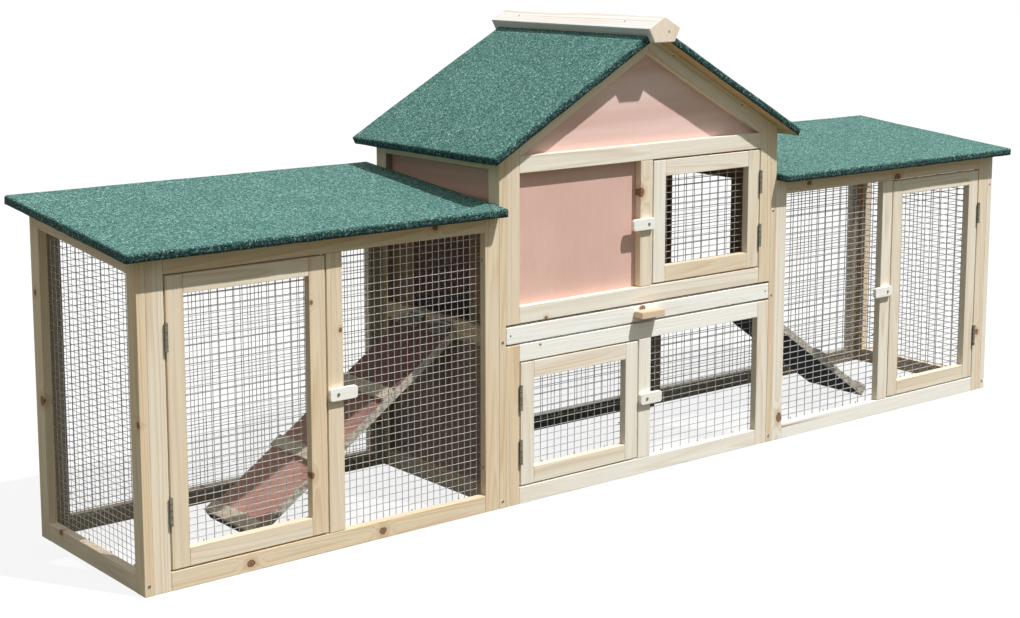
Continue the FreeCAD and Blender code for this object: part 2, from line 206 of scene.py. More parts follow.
# softwood, followed along each timber by its own grain attribute, with up to two knots in each
ring = {"spacing": 0.0036, "wobble": 0.0034, "swerve": 0.0045}
aroundKnot = {"knot": (0.86, 1.04), "halo": (0.9, 2.6), "near": (0.8, 4.5)}
stretch = {"drift": (2.2, 13.0, 13.0), "uneven": (0.4, 60.0, 60.0), "fibres": (9.0, 420.0, 420.0),
           "streaks": (1.6, 70.0, 70.0), "blush": (3.0, 30.0, 30.0)}
# painted shade on the back panels' inner faces: where it lies, how dark it is, more under the house, none on
# the end panels
insideShade = {"behind": (0.11, 0.13), "share": 0.45, "house": (0.30, 0.36), "houseMore": 0.43,
        "endPanels": (0.996, 1.001)}


def softwood(name, pale, warm, late, contrast, cutEnd=None):
    made, start = newMaterial(name)
    grain, tone = attribute(start, "grain"), attribute(start, "tone", 2)
    across, depth = grain.parts()[1:]
    reach = []
    for which in ("knotA", "knotB"):
        u, v, deep = attribute(start, which).parts()
        reach.append((u * u * 0.62 + v * v) ** 0.5 * (deep.alone("ABSOLUTE") * 0.3 + 1.0))
    away = start.maths("MINIMUM", *reach) + (grain.noise(260.0) - 0.5) * 0.5
    knot, halo, near = (1 - away.between(*zone) for zone in aroundKnot.values())
    drift = grain.drawn(stretch["drift"]) - 0.5
    radius = (across * across + depth * depth) ** 0.5
    wavy = radius + drift * ring["wobble"] * 2 + near * ring["swerve"]
    uneven = grain.drawn(stretch["uneven"], 1.0)
    turn = (wavy / ring["spacing"] + uneven * 1.6).alone("FRACT")
    rings = turn.ramp((0.0, 0.12), (0.12, 0.0), (0.55, 0.22), (0.86, 1.0), (1.0, 0.35))
    fibres = grain.drawn(stretch["fibres"], 3.0, 0.6)
    streaks = grain.drawn(stretch["streaks"])
    blush = grain.drawn(stretch["blush"]).between(0.48, 0.8)
    body = (tone + (streaks - 0.5) * 0.7).mixed(pale, warm)
    toBackward = faceWay(start)[1]
    if cutEnd:  # a sawn end is warmer than the planed faces
        body = toBackward.alone("ABSOLUTE").between(0.8, 0.95).mixed(body, cutEnd)
    flushed = (blush * 0.35).mixed(body, rgb(228, 194, 160))
    strength = streaks.between(0.25, 0.75) * 0.32 * contrast + 0.08 * contrast
    ringed = (rings * strength).mixed(flushed, late)
    bleached = ((tone * -1.0).between(0.0, 0.9) * 0.8).mixed(ringed, rgb(254, 254, 250))
    warmed = (halo * 0.45).mixed(bleached, late)
    worn = warmed.dimmed((fibres - 0.5) * 0.26 + (streaks - 0.5) * 0.14 + 1.0)
    core = 1 - (radius + drift * 0.002).between(0.0016, 0.0034)  # the pith, where a cut end shows it
    knotColour = away.ramp((0.0, rgb(78, 50, 36)), (0.22, rgb(136, 94, 70)), (0.6, rgb(154, 110, 84)),
                           (0.84, rgb(84, 54, 38)), (1.0, rgb(128, 90, 64)))
    colour = (core * 0.7).mixed((knot * 0.92).mixed(worn, knotColour), rgb(112, 70, 46))
    # painted shade: the back panels' faces that look into the hutch are darkened, most of all under the house
    x, y = objectPlace(start).parts()[:2]
    inward = y.between(*insideShade["behind"]) * (1 - toBackward.between(-0.7, -0.4))
    out = x.alone("ABSOLUTE")
    underHouse = (1 - out.between(*insideShade["house"])) * insideShade["houseMore"]
    paintedShade = underHouse - out.between(*insideShade["endPanels"]) * insideShade["share"] + insideShade["share"]
    relief = bumped(start, rings * 0.5 + fibres * 0.6 - knot * 0.4, 0.35, 0.0006)
    return finished(made, {"Base Color": (inward * paintedShade).mixed(colour, rgb(54, 57, 54)),
                           "Roughness": 0.58 + fibres * 0.14, "Specular IOR Level": 0.1, "Normal": relief})


firTimber = softwood("firTimber", rgb(246, 240, 227), rgb(230, 206, 169), rgb(192, 154, 110), 1.1)
whiteWood = softwood("whiteWood", rgb(254, 254, 251), rgb(250, 248, 241), rgb(230, 220, 200), 0.7)
ridgeWood = softwood("ridgeWood", rgb(236, 237, 237), rgb(227, 222, 214), rgb(190, 158, 126), 1.7,
                     rgb(250, 236, 220))
roofWood = softwood("roofWood", rgb(216, 192, 152), rgb(200, 166, 120), rgb(156, 114, 72), 1.1)
handleWood = softwood("handleWood", rgb(233, 211, 190), rgb(222, 192, 163), rgb(188, 144, 108), 1.2)
cleatWood = softwood("cleatWood", rgb(230, 222, 204), rgb(214, 200, 176), rgb(172, 144, 114), 1.1)


# stained plywood: soft figure with faint clouds, and raw pale edges where they are left bare
def plywood(name, light, deep, figure, figureScale, rawEdges=False, sheets=()):
    made, start = newMaterial(name)
    place = objectPlace(start)
    height = place.parts()[2]
    bands = place.drawn(figureScale, 3.0, 0.55)
    clouds = place.noise(5.0, 3.0)
    pores = place.drawn(tuple(9.0 * s for s in figureScale))
    mottle = place.drawn((16.0, 16.0, 7.0), 3.0, 0.6)
    body = (clouds * 0.6 + mottle * 0.4).between(0.32, 0.7).mixed(light, deep)
    lines = (bands * 6.0).alone("FRACT").between(0.0, 1.0)
    colour = (lines * 0.06 + pores.between(0.5, 0.75) * 0.04).mixed(body, figure)
    layers = place.drawn((1.5, 1.5, 24.0), 3.0).between(0.35, 0.7)
    for above, paler, darker in sheets:  # bands higher up, with level bands in them: on the front boards another sheet, on the side boards painted shade
        colour = height.between(above, above + 0.01).mixed(colour, layers.mixed(paler, darker))
    if rawEdges:
        way = faceWay(start)
        bare = way[1].alone("ABSOLUTE").between(0.55, 0.8)
        chips = place.noise(130.0, 3.0, 0.7)
        raw = chips.between(0.35, 0.7).mixed(rgb(226, 220, 206), rgb(172, 162, 146))
        under = 1 - way[2].between(-0.6, -0.3)  # the underside has no stain and is painted near-black as painted shade
        # painted shade: a near-black colour for the ramp's underside
        paintedShade = chips.mixed(rgb(20, 23, 20), rgb(11, 13, 11))
        rampShadeMask = (height + (mottle - 0.5) * 0.05).between(0.12, 0.24)  # painted shade: darker towards the house, where the run's roof shades the ramp
        rampShaded = (rampShadeMask * 0.6).mixed(colour, rgb(86, 64, 62))
        colour = under.mixed(bare.mixed(rampShaded, raw), paintedShade)
    return finished(made, {"Base Color": colour, "Roughness": 0.62 + pores * 0.1, "Specular IOR Level": 0.03,
                           "Normal": bumped(start, pores + lines * 0.3, 0.1, 0.0004)})


panelFigure, rampFigure = (26.0, 26.0, 1.6), (3.0, 42.0, 3.0)
pinkPly = plywood("pinkPly", rgb(230, 195, 184), rgb(221, 183, 171), rgb(202, 156, 144), panelFigure,
                  sheets=((0.605, rgb(243, 214, 209), rgb(230, 194, 186)),))
# painted shade: the side boards are the pink stain darkened, darkest low down, olive-brown from 0.30 to 0.53
# under the run's roof, and a little darker above
sidePly = plywood("sidePly", rgb(190, 160, 148), rgb(168, 140, 128), rgb(150, 116, 104), panelFigure,
                  sheets=((0.30, rgb(174, 148, 124), rgb(150, 126, 102)),
                          (0.53, rgb(224, 184, 170), rgb(208, 166, 152))))
rampPly = plywood("rampPly", rgb(210, 167, 152), rgb(194, 148, 134), rgb(150, 108, 99), rampFigure, True)


# mineral felt: coloured granules bedded in bitumen, rubbed and darker where the sheet wraps an edge
def mineralFelt(name):
    made, start = newMaterial(name)
    place = objectPlace(start)
    granules = {"coarse": 430.0, "fine": 760.0, "clumps": 230.0, "clouds": 9.0}
    grit, fine = place.specks(granules["coarse"], 0), place.specks(granules["fine"], 1)
    dome = start.node("ShaderNodeTexVoronoi", {}, {"Vector": place, "Scale": granules["fine"]})
    clumps = place.noise(granules["clumps"], 2.0, 0.6)
    clouds = place.noise(granules["clouds"], 3.0)
    mixture = grit * 0.36 + fine * 0.32 + clumps * 0.36 - 0.02
    top = mixture.ramp((0.16, rgb(20, 48, 47)), (0.36, rgb(47, 89, 84)), (0.52, rgb(72, 117, 110)),
                       (0.68, rgb(109, 153, 144)), (0.86, rgb(194, 216, 210)))
    edge = mixture.ramp((0.2, rgb(8, 24, 26)), (0.48, rgb(26, 56, 56)), (0.66, rgb(60, 100, 96)),
                        (0.86, rgb(164, 190, 186)))
    colour = attribute(start, "wrap", 2).mixed(top, edge).dimmed((clouds - 0.5) * 0.28 + 1.0)
    return finished(made, {"Base Color": colour, "Roughness": 0.86, "Specular IOR Level": 0.25,
                           "Normal": bumped(start, dome * -1.0 + clumps, 0.7, 0.0011)})


roofFelt = mineralFelt("roofFelt")


# zinc on steel: spangled grey, dull in patches
knuckle = {"perMetre": 95.0, "joint": (0.06, 0.16)}


def zinc(name, bright, dull, rough, metal, spangle, dullFrom=None):
    made, start = newMaterial(name)
    place = objectPlace(start)
    bloom = place.noise(spangle * 0.4, 3.0)
    colour = (place.specks(spangle, 0) * 0.5 + bloom * 0.5).mixed(bright, dull)
    shine = metal
    if dullFrom:  # what is fixed indoors has gone dull; doors' hinges have dark joints between knuckles
        y, z = place.parts()[1:]
        indoors = y.between(dullFrom, dullFrom + 0.02)
        shine = (1 - indoors * 0.8) * metal
        turn = (z * knuckle["perMetre"]).alone("FRACT")
        joints = (1 - turn.between(*knuckle["joint"])) * (1 - indoors)
        colour = (joints * 0.75).mixed(indoors.mixed(colour, rgb(132, 124, 110)), rgb(48, 45, 38))
    dulled = rough + (bloom - 0.5) * 0.25
    return finished(made, {"Base Color": colour, "Metallic": shine, "Roughness": dulled})


meshZinc = zinc("meshZinc", rgb(188, 188, 187), rgb(140, 141, 140), 0.42, 0.35, 160.0)
hingeZinc = zinc("hingeZinc", rgb(150, 147, 132), rgb(104, 101, 90), 0.36, 0.85, 260.0, dullFrom=-0.16)
screwZinc = zinc("screwZinc", rgb(160, 156, 146), rgb(104, 100, 92), 0.36, 0.9, 700.0)
panZinc = zinc("panZinc", rgb(172, 172, 168), rgb(136, 136, 132), 0.52, 0.5, 60.0)
print("materials made")


# timbers are stacked until their piece is made; every one has eased edges and its own grain
stock = {"width": 0.030, "ease": 0.0011, "doorGap": 0.0025, "slack": 0.00025, "slackShare": (0.2, 1.0),
         "sharp": 0.6}
w, gap = stock["width"], stock["doorGap"]
growth = {"tones": (0.2, 0.8), "pithAside": 0.012, "pithDeep": (0.012, 0.055), "leanAside": 0.012,
          "leanDeep": 0.02, "length": 40.0, "knotChance": 0.35, "knotSizes": (0.002, 0.0042),
          "unseenFrom": -0.16, "noKnot": (9.0, 9.0, 0.0, 0.005)}

# knots that the photograph shows: where on the hutch, and how big
knotsSeen = (
    # left end
    (-1.017, -0.176, 0.265, 0.0044), (-1.017, 0.169, 0.412, 0.0044), (-1.017, 0.157, 0.235, 0.0070),
    (-1.017, 0.154, 0.158, 0.0038), (-1.017, 0.106, 0.026, 0.0050),
    # left run
    (-0.834, -0.181, 0.013, 0.0062), (-0.584, -0.181, 0.013, 0.0060), (-0.720, -0.181, 0.132, 0.0052),
    (-0.716, -0.181, 0.412, 0.0030), (-0.662, -0.181, 0.361, 0.0036), (-0.474, -0.181, 0.506, 0.0045),
    # house
    (-0.013, -0.181, 0.524, 0.0072), (-0.236, -0.181, 0.324, 0.0030), (-0.249, -0.181, 0.278, 0.0018),
    (-0.008, -0.181, 0.311, 0.0062), (0.361, -0.181, 0.044, 0.0076),
    # right run
    (0.701, -0.181, 0.492, 0.0078), (0.434, -0.181, 0.503, 0.0048), (0.984, -0.181, 0.130, 0.0056))
stack = {"points": [], "faces": [], "grain": [], "tone": [], "knotA": [], "knotB": []}
alongX, alongY, alongZ = Vector((1, 0, 0)), Vector((0, 1, 0)), Vector((0, 0, 1))


def at(x, y, z):
    return Vector((x, y, z))


def plainName(node):
    return node.title().replace("_", "")


def addTimber(outline, push, along, tone=None, ease=None, heart=None):
    bm = bmesh.new()
    low = [bm.verts.new(p) for p in outline]
    high = [bm.verts.new(p + push) for p in outline]
    bm.faces.new(low)
    bm.faces.new(high)
    for k in range(len(outline)):
        n = (k + 1) % len(outline)
        bm.faces.new((low[k], low[n], high[n], high[k]))
    bmesh.ops.recalc_face_normals(bm, faces=bm.faces)
    sharpEdges = [e for e in bm.edges if e.calc_face_angle(0.0) > stock["sharp"]]
    bmesh.ops.bevel(bm, geom=sharpEdges, offset=ease or stock["ease"], segments=2, profile=0.6,
                    affect="EDGES", clamp_overlap=True)
    along, depth = along.normalized(), push.normalized()
    if abs(depth.dot(along)) >= 0.5:
        depth = (outline[1] - outline[0]).normalized()
    across = depth.cross(along).normalized()
    axes = (along, across, along.cross(across))
    middle = sum(outline, Vector()) / len(outline) + push / 2
    aside, leanAside, leanDeep = (growth[k] for k in ("pithAside", "leanAside", "leanDeep"))
    pith = (rng.uniform(-aside, aside), rng.choice((-1, 1)) * rng.uniform(*growth["pithDeep"]))
    lean = (rng.uniform(-leanAside, leanAside), rng.uniform(-leanDeep, leanDeep))
    if heart:  # the pith is where the cut end shows it
        pith, lean = [(middle - Vector(heart)).dot(d) for d in axes[1:]], (0.0, 0.0)
    start = rng.uniform(0.0, growth["length"])
    tone = rng.uniform(*growth["tones"]) if tone is None else tone
    corners = outline + [p + push for p in outline]
    reach = [(min(p[k] for p in corners) - 0.001, max(p[k] for p in corners) + 0.001) for k in range(3)]
    knots = []
    for *place, size in knotsSeen:
        if all(reach[k][0] < place[k] < reach[k][1] for k in range(3)):
            knots.append((*((Vector(place) - middle).dot(d) for d in axes), size))
    if not knots and middle.y > growth["unseenFrom"] and rng.random() < growth["knotChance"]:
        spans = [[(p - middle).dot(d) for p in corners] for d in axes]
        ends = [(min(s), max(s)) for s in spans]
        knots.append((rng.uniform(*ends[0]), rng.uniform(*ends[1]), rng.choice(ends[2]),
                      rng.uniform(*growth["knotSizes"])))
    knots = (knots + [growth["noKnot"]] * 2)[:2]
    base = len(stack["points"])
    bm.verts.index_update()
    for v in bm.verts:
        run, side, deep = ((v.co - middle).dot(d) for d in axes)
        stack["points"].append(v.co.copy())
        stack["grain"] += [run + start, side + pith[0] + lean[0] * run, deep + pith[1] + lean[1] * run]
        stack["tone"].append(tone)
        for which, (run0, side0, deep0, size) in zip(("knotA", "knotB"), knots):
            stack[which] += [(run - run0) / size, (side - side0) / size, (deep - deep0) / size]
    stack["faces"] += [[base + v.index for v in f.verts] for f in bm.faces]
    bm.free()


def addCut(shape, sign, y0, y1, along, tone):
    # a timber with an outline seen from the front, given for the right half and mirrored by the sign
    addTimber([at(sign * x, y0, z) for x, z in shape], at(0, y1 - y0, 0), along, tone)


def addBox(low, high, along, tone=None):
    # a straight timber, a hair under size so that butted ones show their joint
    slack = Vector((stock["slack"],) * 3) * rng.uniform(*stock["slackShare"])
    a, b = low + slack, high - slack
    addCut(((a.x, a.z), (b.x, a.z), (b.x, b.z), (a.x, b.z)), 1, a.y, b.y, along, tone)


def mark(mesh, name, values, vectors=False):
    kind, part = ("FLOAT_VECTOR", "vector") if vectors else ("FLOAT", "value")
    mesh.attributes.new(name, kind, "POINT").data.foreach_set(part, values)


def meshOf(name, points, faces=()):
    made = bpy.data.meshes.new(name)
    made.from_pydata(points, [], faces)
    return made


def placed(name, data):
    made = bpy.data.objects.new(name, data)
    scene.collection.objects.link(made)
    return made


def piece(name, mesh, body, slot, *replaced):
    made = placed(name, mesh)
    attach(made, body)
    if replaced:
        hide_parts(*replaced)
    return made


def timberPiece(name, body, slot, finish, node):
    mesh = meshOf(name, stack["points"], stack["faces"])
    for which in ("grain", "knotA", "knotB"):
        mark(mesh, which, stack[which], True)
    mark(mesh, "tone", stack["tone"])
    for gathered in stack.values():
        gathered.clear()
    mesh.materials.append(finish)
    piece(name, mesh, body, slot, node)


def firPiece(name, node, body="frame"):
    timberPiece(name, body, "fir_timber", firTimber, node)


def addFramed(low, high, tones):
    # two stiles of full height with a foot rail and a head rail between them
    left, right = low.x + w, high.x - w
    timbers = (("left", low.x, left, low.z, high.z, alongZ),
               ("right", right, high.x, low.z, high.z, alongZ),
               ("foot", left, right, low.z, low.z + w, alongX),
               ("head", left, right, high.z - w, high.z, alongX))
    for name, x0, x1, z0, z1, along in timbers:
        addBox(at(x0, low.y, z0), at(x1, high.y, z1), along, tones.get(name))


def midStile(low, high, door, tone):
    # the stile that a door shuts against, on the door's free side
    doorLow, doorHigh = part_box(door)
    nearLow = abs(doorLow.x - low.x) < abs(high.x - doorHigh.x)
    x = doorHigh.x + gap if nearLow else doorLow.x - gap - w
    addBox(at(x, low.y, doorLow.z - gap), at(x + w, high.y, doorHigh.z + gap), alongZ, tone)


# how dark front timbers are: 1 is warm, 0 is pale, below that it has bleached; in each row the left and right
# stiles, foot and head rails, the middle stile, and then the end panel's post or the rafters
toneNames = ("left", "right", "foot", "head", "middle", "last")
toneRows = {
    "left_run": (0.30, 0.65, 0.70, 0.70, 0.55, 0.70), "right_run": (-0.10, 0.45, -0.70, 0.50, 0.05, -0.10),
    "left_run_door": (0.55, 0.65, 0.40, 0.40), "right_run_door": (0.25, 0.15, 0.20, 0.20),
    "house_lower": (0.72, 0.0, -0.40, -0.90, -0.40), "house_lower_door": (0.10, -0.30, 0.25, -0.05),
    "house_upper": (0.45, 0.60, -0.10, 0.0, 0.35, 0.20), "house_upper_door": (-0.30, 0.35, 0.60, 0.05),
    "house_sides": (0.72, 0.72)}
timberTones = {part: dict(zip(toneNames, row)) for part, row in toneRows.items()}

# runs: front panels with their doors, back panels and end panels
for side in ("left", "right"):
    tones = timberTones[side + "_run"]
    node = side + "_run_front_frame"
    frontLow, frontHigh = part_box(node)
    addFramed(frontLow, frontHigh, tones)
    midStile(frontLow, frontHigh, side + "_run_door_frame", tones["middle"])
    firPiece(side + "RunFrontTimbers", node)

    node = side + "_run_back_frame"
    backLow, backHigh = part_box(node)
    addFramed(backLow, backHigh, {})
    firPiece(side + "RunBackTimbers", node)

    # the end panel's head follows the roof, from the front panel's top to the back panel's
    node = side + "_end_frame"
    low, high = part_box(node)
    runSlope = (backHigh.z - frontHigh.z) / (backLow.y - frontLow.y)
    spans = ((low.y, low.y + w, 0, tones["last"]), (high.y - w, high.y, 0, None),
             (low.y + w, high.y - w, w, None))
    for start, end, deep, tone in spans:
        tops = [frontHigh.z + (y - frontLow.y) * runSlope for y in (start, end)]
        feet = [t - deep if deep else low.z for t in tops]
        corners = ((start, feet[0]), (end, feet[1]), (end, tops[1]), (start, tops[0]))
        outline = [at(low.x, y, z) for y, z in corners]
        addTimber(outline, at(high.x - low.x, 0, 0), alongY if deep else alongZ, tone)
    addBox(at(low.x, low.y + w, low.z), at(high.x, high.y - w, low.z + w), alongY)
    firPiece(side + "EndTimbers", node)

for door in ("left_run_door", "right_run_door", "house_lower_door", "house_upper_door"):
    addFramed(*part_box(door + "_frame"), timberTones[door])
    firPiece(plainName(door) + "Timbers", door + "_frame", door)
print("runs and doors framed")

# house: lower front panel, upper front with its gable, back and sides
lowerLow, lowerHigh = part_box("house_lower_front_frame")
addFramed(lowerLow, lowerHigh, timberTones["house_lower"])
midStile(lowerLow, lowerHigh, "house_lower_door_frame", timberTones["house_lower"]["middle"])
firPiece("HouseLowerFrontTimbers", "house_lower_front_frame")

# the slope of the roof's underside, from the side panels' tops up to the foot of the ridge
ridgeLow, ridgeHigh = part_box("ridge_beam")
sideLow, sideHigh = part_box("house_right_side_frame")
upperLow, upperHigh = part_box("house_upper_front_frame")
ridgePoints = [v.co for v in cadNodes["ridge_beam"].data.vertices]
ridgeFoot = max(p.x for p in ridgePoints if p.z < ridgeLow.z + 1e-5)
pitch = math.atan((upperHigh.z - sideHigh.z) / (sideLow.x - ridgeFoot))
inner = sideLow.x - w


def roofUnder(x):
    return sideHigh.z + (sideLow.x - abs(x)) * math.tan(pitch)


def addGable(y0, y1, foot, railTop, tones):
    # stiles cut to the slope, a head rail, and two rafters that meet under the ridge
    deep = w / math.cos(pitch)
    meets = sideLow.x - (railTop + deep - sideHigh.z) / math.tan(pitch)
    stile = [(inner, foot), (sideLow.x, foot), (sideLow.x, roofUnder(sideLow.x)), (inner, roofUnder(inner))]
    rafter = [(inner, railTop), (inner, roofUnder(inner)), (ridgeFoot, upperHigh.z), (0, upperHigh.z),
              (0, roofUnder(0) - deep), (meets, railTop)]
    for sign, side in ((-1, "left"), (1, "right")):
        slope = at(sign * math.cos(pitch), 0, -math.sin(pitch))
        addCut(stile, sign, y0, y1, alongZ, tones.get(side))
        addCut(rafter, sign, y0, y1, slope, tones.get("last"))
    addBox(at(-inner, y0, railTop - w), at(inner, y1, railTop), alongX, tones.get("head"))


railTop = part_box("house_upper_door_frame")[1].z + gap + w
tones = timberTones["house_upper"]
addGable(upperLow.y, upperHigh.y, upperLow.z, railTop, tones)
addBox(at(-inner, upperLow.y, upperLow.z), at(inner, upperHigh.y, upperLow.z + w), alongX, tones["foot"])
midStile(at(-inner, upperLow.y, 0), at(inner, upperHigh.y, 0), "house_upper_door_frame", tones["middle"])
firPiece("HouseUpperFrontTimbers", "house_upper_front_frame")

low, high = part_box("house_back_frame")
addGable(low.y, high.y, low.z, railTop, {})
for z in (low.z, lowerHigh.z):
    addBox(at(-inner, low.y, z), at(inner, high.y, z + w), alongX)
firPiece("HouseBackTimbers", "house_back_frame")

for side, sign in (("left", -1), ("right", 1)):
    node = "house_" + side + "_side_frame"
    low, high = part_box(node)
    tops = [(sideLow.x, sideHigh.z), (sideHigh.x, roofUnder(sideHigh.x))]
    stile = [(sideHigh.x, low.z), (sideLow.x, low.z)] + tops
    rail = [(x, roofUnder(sideHigh.x) - w) for x in (sideHigh.x, sideLow.x)] + tops
    tone = timberTones["house_sides"][side]
    addCut(stile, sign, low.y, low.y + w, alongZ, tone)
    addCut(stile, sign, high.y - w, high.y, alongZ, tone)
    addCut(rail, sign, low.y + w, high.y - w, alongY, tone)
    for z in (lowerHigh.z, low.z) if side == "left" else (lowerHigh.z,):
        addBox(at(low.x, low.y + w, z), at(high.x, high.y - w, z + w), alongY)
    firPiece("House" + side.title() + "SideTimbers", node)
print("house framed")


# straight pieces whose ends can be read from the frame's own corners
def endOutline(node, axis, keep=None):
    points = [v.co for v in cadNodes[node].data.vertices if keep is None or keep(v.co)]
    low, high = min(p[axis] for p in points), max(p[axis] for p in points)
    seen = {}
    for p in points:
        if p[axis] < low + 1e-5:
            seen[tuple(round(c, 5) for c in p)] = p.copy()
    corners = list(seen.values())
    middle = sum(corners, Vector()) / len(corners)
    u, v = [k for k in range(3) if k != axis]
    corners.sort(key=lambda p: math.atan2(p[v] - middle[v], p[u] - middle[u]))
    push = Vector()
    push[axis] = high - low
    return corners, push


def prismPiece(name, node, along, body, slot, finish, cut, halves=False):
    # a timber from front to back, or two of them, one each side of the middle
    for keep in (lambda p: p.x < 0, lambda p: p.x > 0) if halves else (None,):
        addTimber(*endOutline(node, 1, keep), along, **cut)
    timberPiece(name, body, slot, finish, node)


boards = {"ridge": {"tone": 0.2, "ease": 0.0016, "heart": (0.010, 0.0, 0.813)},
          "tray": {"tone": 0.05, "ease": 0.0009}, "runners": {"tone": 0.5},
          "roof": {"tone": 0.5, "ease": 0.0005}, "feltRoom": 0.0025}
prismPiece("RidgeBeam", "ridge_beam", alongY, "frame", "white_wood", ridgeWood, boards["ridge"])
prismPiece("TrayFront", "tray_front", alongX, "tray", "white_wood", whiteWood, boards["tray"])
prismPiece("TrayRunners", "tray_runners", alongY, "frame", "fir_timber", firTimber, boards["runners"], True)
prismPiece("HouseRoofBoards", "house_roof_boards", alongY, "frame", "roof_board_wood", roofWood,
           boards["roof"], True)
for side in ("left", "right"):
    node = side + "_run_roof_board"
    outline, push = endOutline(node, 0)
    if side == "right":  # each stops short of the felt that goes down over its end at the house
        outline = [p + alongX * boards["feltRoom"] for p in outline]
    addTimber(outline, push - alongX * boards["feltRoom"], alongX, **boards["roof"])
    timberPiece(side + "RunRoofBoard", "frame", "roof_board_wood", roofWood, node)
print("ridge, tray and roof boards made")


# turn buttons and the tray's handle: small blocks, rounded in their outline
blocks = {"steps": 5, "button": {"radius": 0.0048, "tone": 0.15, "ease": 0.0011},
          "handle": {"radius": 0.0024, "tone": 0.45, "ease": 0.0014}}


def roundedPiece(node, body, slot, finish, radius, tone, ease):
    low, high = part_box(node)
    left, right, foot, head = low.x + radius, high.x - radius, low.z + radius, high.z - radius
    outline = []
    for turn, (cx, cz) in enumerate(((right, head), (left, head), (left, foot), (right, foot))):
        for k in range(blocks["steps"] + 1):
            angle = math.pi / 2 * (turn + k / blocks["steps"])
            outline.append(at(cx + radius * math.cos(angle), low.y, cz + radius * math.sin(angle)))
    addTimber(outline, at(0, high.y - low.y, 0), alongX, tone, ease)
    timberPiece(plainName(node), body, slot, finish, node)


for button in ("left_run_button", "right_run_button", "house_lower_button", "house_upper_button"):
    roundedPiece(button, button, "white_wood", whiteWood, **blocks["button"])
roundedPiece("tray_handle", "tray", "handle_wood", handleWood, **blocks["handle"])

# ramps: stained boards with raw edges, and cleats across them
ramp = {"board": {"tone": 0.5, "ease": 0.0008}, "cleats": 3}
for body in ("left_ramp", "right_ramp"):
    name = body.split("_")[0] + "Ramp"
    outline, push = endOutline(body + "_board", 1)
    slope = max((outline[k] - outline[k - 1] for k in range(4)), key=lambda d: d.length)
    addTimber(outline, push, slope, **ramp["board"])
    timberPiece(name + "Board", body, "ramp_ply", rampPly, body + "_board")
    low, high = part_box(body + "_cleats")
    for k in range(ramp["cleats"]):
        span = [low.x + (high.x - low.x) * n / ramp["cleats"] for n in (k, k + 1)]
        inSpan = lambda p: span[0] - 1e-6 <= p.x <= span[1] + 1e-6
        addTimber(*endOutline(body + "_cleats", 1, inSpan), alongY)
    timberPiece(name + "Cleats", body, "cleat_wood", cleatWood, body + "_cleats")
print("blocks and ramps made")


# roof felt: one sheet laid over each slope and bent down over the board's edges
felt = {"bend": 0.0045, "thick": 0.0018, "proud": 0.002, "swell": 0.0007, "swellMost": 0.0004,
        "swellScales": (9.0, 31.0), "step": 0.022, "turns": 5, "ragged": 0.0009, "raggedScale": 55.0,
        "rubbed": 1.5}


def flatSpan(size, wraps):
    # the stretch of a sheet that stays flat, short of the edges that it goes over
    return felt["bend"] if wraps[0] else 0.0, size - felt["bend"] if wraps[1] else size


def bent(place, size, wraps):
    # where a place on the flat sheet lies along the slope, and how far it has gone over an edge
    low, high = flatSpan(size, wraps)
    flat = min(max(place, low), high)
    return flat, place - flat


def stops(size, wraps, reach):
    low, high = flatSpan(size, wraps)
    count = max(2, round((high - low) / felt["step"]))
    places = [low + (high - low) * k / count for k in range(count + 1)]
    over = [felt["bend"] * math.pi / 2 * k / felt["turns"] for k in range(1, felt["turns"] + 1)]
    over += [reach * 0.7, reach]
    if wraps[0]:
        places = [low - d for d in reversed(over)] + places
    if wraps[1]:
        places += [high + d for d in over]
    return places


def feltSheet(name, corner, across, along, wide, long, drop, wraps, *replaced):
    # corner is the sheet's upper face at across 0 and along 0; wraps are its low and high edges each way
    r = felt["bend"]
    quarter = r * math.pi / 2
    up = across.cross(along).normalized()
    reach = drop - r + quarter
    us, vs = stops(wide, wraps[:2], reach), stops(long, wraps[2:], reach)
    points, over = [], []
    for v in vs:
        for u in us:
            flatU, outU = bent(u, wide, wraps[:2])
            flatV, outV = bent(v, long, wraps[2:])
            far = max(abs(outU), abs(outV))
            way = at(outU, outV, 0)
            way = way.normalized() if far > 1e-9 else way
            place = corner + across * u + along * v
            if far <= quarter:
                out, down = r * math.sin(far / r), r * (1 - math.cos(far / r))
            else:
                out, down = r, r + far - quarter
                torn = felt["ragged"] * noise.noise(place * felt["raggedScale"])
                down += torn * (far - r) / (reach - r)
            broad, small = (noise.noise(place * scale) for scale in felt["swellScales"])
            lift = felt["swell"] * (broad + 0.5 * small)
            outward = up if far < r else across * way.x + along * way.y
            laid = corner + across * (flatU + way.x * out) + along * (flatV + way.y * out) - up * down
            points.append(laid + outward * min(lift, felt["swellMost"]))
            over.append(min(1.0, far / (r * felt["rubbed"])))
    n = len(us)
    faces = [(j * n + i, j * n + i + 1, (j + 1) * n + i + 1, (j + 1) * n + i)
             for j in range(len(vs) - 1) for i in range(n - 1)]
    mesh = meshOf(name, points, faces)
    mark(mesh, "wrap", over)
    mesh.materials.append(roofFelt)
    mesh.shade_smooth()
    wall = piece(name, mesh, "frame", "roof_felt", *replaced).modifiers.new("thickness", "SOLIDIFY")
    wall.thickness = felt["thick"]
    wall.offset = -1.0


for side in ("left", "right"):
    boardEnd = sorted(endOutline(side + "_run_roof_board", 0)[0], key=lambda p: p.y)
    feltLow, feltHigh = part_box(side + "_run_roof_felt")
    lowFront, topFront = sorted(boardEnd[:2], key=lambda p: p.z)
    topBack = max(boardEnd[2:], key=lambda p: p.z)
    slope = (topBack - topFront).normalized()
    up = (topFront - lowFront).normalized()
    start = topFront + (up - slope) * felt["proud"]
    start.x = feltLow.x
    long = (topBack - topFront).length + 2 * felt["proud"]
    drop = (topFront - lowFront).length + felt["proud"]
    feltSheet(side + "RunFelt", start, alongX, slope, feltHigh.x - feltLow.x, long, drop, (True,) * 4,
              side + "_run_roof_felt")

